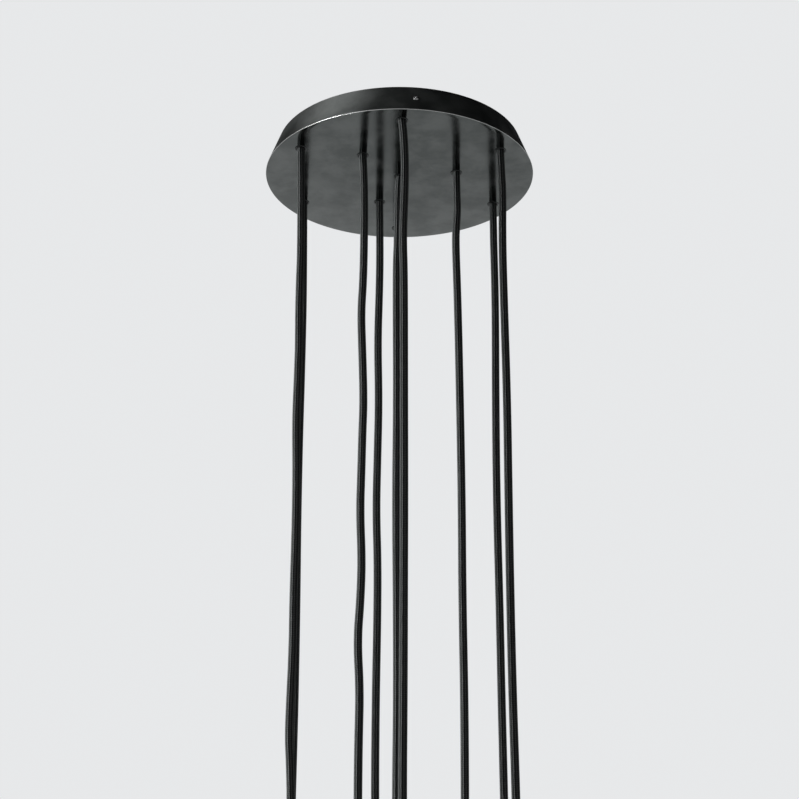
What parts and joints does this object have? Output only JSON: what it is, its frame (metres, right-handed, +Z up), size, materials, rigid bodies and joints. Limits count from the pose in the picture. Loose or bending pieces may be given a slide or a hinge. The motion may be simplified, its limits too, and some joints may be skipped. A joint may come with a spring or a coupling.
{
  "type": "cluster pendant light",
  "caption": "Cluster pendant: textile cords with bare-lamp heads at staggered heights under one round, tapered ceiling canopy.",
  "frame": {"origin": "middle of the two ceiling box slots, on the ceiling face of the mounting plate", "axes": "+Z up, out of the ceiling face; the front is -Y; the two slots lie along X"},
  "size_m": [0.3546, 0.3546, 1.3445],
  "materials": {
    "canopy_metal": "satin black nickel, slightly cloudy",
    "screw_steel": "satin blackened steel",
    "zinc_steel": "bright zinc plate",
    "strip_plastic": "moulded off-white nylon",
    "lead_sheath": "smooth black sheath",
    "earth_sheath": "green and yellow sheath",
    "cord_textile": "black knitted textile, ribbed lengthwise",
    "head_metal": "satin black nickel",
    "holder_plastic": "moulded black insulating resin",
    "opal_glass": "satin opal glass with a metal screw cap"
  },
  "bodies": {
    "canopy": {"canopy_pan": "canopy_metal", "cord_bushings": "canopy_metal", "lock_nuts": "zinc_steel", "mounting_plate": "zinc_steel", "mounting_arms": "zinc_steel", "side_screws": "screw_steel", "small_nuts": "zinc_steel", "terminal_strips": "strip_plastic", "inner_leads": "lead_sheath", "earth_lead": "earth_sheath"},
    "pendant_01": {"cord_01": "cord_textile", "cord_grip_01": "head_metal", "socket_cup_01": "head_metal", "lampholder_01": "holder_plastic", "lamp_01": "opal_glass"},
    "pendant_02": {"cord_02": "cord_textile", "cord_grip_02": "head_metal", "socket_cup_02": "head_metal", "lampholder_02": "holder_plastic", "lamp_02": "opal_glass"},
    "pendant_03": {"cord_03": "cord_textile", "cord_grip_03": "head_metal", "socket_cup_03": "head_metal", "lampholder_03": "holder_plastic", "lamp_03": "opal_glass"},
    "pendant_04": {"cord_04": "cord_textile", "cord_grip_04": "head_metal", "socket_cup_04": "head_metal", "lampholder_04": "holder_plastic", "lamp_04": "opal_glass"},
    "pendant_05": {"cord_05": "cord_textile", "cord_grip_05": "head_metal", "socket_cup_05": "head_metal", "lampholder_05": "holder_plastic", "lamp_05": "opal_glass"},
    "pendant_06": {"cord_06": "cord_textile", "cord_grip_06": "head_metal", "socket_cup_06": "head_metal", "lampholder_06": "holder_plastic", "lamp_06": "opal_glass"},
    "pendant_07": {"cord_07": "cord_textile", "cord_grip_07": "head_metal", "socket_cup_07": "head_metal", "lampholder_07": "holder_plastic", "lamp_07": "opal_glass"},
    "pendant_08": {"cord_08": "cord_textile", "cord_grip_08": "head_metal", "socket_cup_08": "head_metal", "lampholder_08": "holder_plastic", "lamp_08": "opal_glass"},
    "pendant_09": {"cord_09": "cord_textile", "cord_grip_09": "head_metal", "socket_cup_09": "head_metal", "lampholder_09": "holder_plastic", "lamp_09": "opal_glass"},
    "pendant_10": {"cord_10": "cord_textile", "cord_grip_10": "head_metal", "socket_cup_10": "head_metal", "lampholder_10": "holder_plastic", "lamp_10": "opal_glass"}
  },
  "joints": [
    {"name": "swing_01", "type": "hinge", "parent": "canopy", "child": "pendant_01", "pos_m": [0.00312, -0.14897, -0.0415], "axis": [-0.9998, -0.0209, 0], "range_deg": [-1.4, 5]},
    {"name": "swing_02", "type": "hinge", "parent": "canopy", "child": "pendant_02", "pos_m": [0.13057, -0.07178, -0.0415], "axis": [-0.4818, -0.8763, 0], "range_deg": [-1.4, 5]},
    {"name": "swing_03", "type": "hinge", "parent": "canopy", "child": "pendant_03", "pos_m": [0.12745, 0.07719, -0.0415], "axis": [0.518, -0.8554, 0], "range_deg": [-1.4, 5]},
    {"name": "swing_04", "type": "hinge", "parent": "canopy", "child": "pendant_04", "pos_m": [-0.00312, 0.14897, -0.0415], "axis": [0.9998, 0.0209, 0], "range_deg": [-1.4, 5]},
    {"name": "swing_05", "type": "hinge", "parent": "canopy", "child": "pendant_05", "pos_m": [-0.13057, 0.07178, -0.0415], "axis": [0.4818, 0.8763, 0], "range_deg": [-1.4, 5]},
    {"name": "swing_06", "type": "hinge", "parent": "canopy", "child": "pendant_06", "pos_m": [-0.12745, -0.07719, -0.0415], "axis": [-0.518, 0.8554, 0], "range_deg": [-1.4, 5]},
    {"name": "swing_07", "type": "hinge", "parent": "canopy", "child": "pendant_07", "pos_m": [0.07506, -0.01189, -0.0415], "axis": [-0.1564, -0.9877, 0], "range_deg": [-1.4, 1.4]},
    {"name": "swing_08", "type": "hinge", "parent": "canopy", "child": "pendant_08", "pos_m": [-0.02724, 0.07095, -0.0415], "axis": [0.9336, 0.3584, 0], "range_deg": [-1.4, 1.4]},
    {"name": "swing_09", "type": "hinge", "parent": "canopy", "child": "pendant_09", "pos_m": [-0.04783, -0.05906, -0.0415], "axis": [-0.7771, 0.6293, 0], "range_deg": [-1.4, 1.4]},
    {"name": "swing_10", "type": "hinge", "parent": "canopy", "child": "pendant_10", "pos_m": [0, 0, -0.0415], "axis": [1, 0, 0], "range_deg": [-1.4, 1.4]}
  ]
}
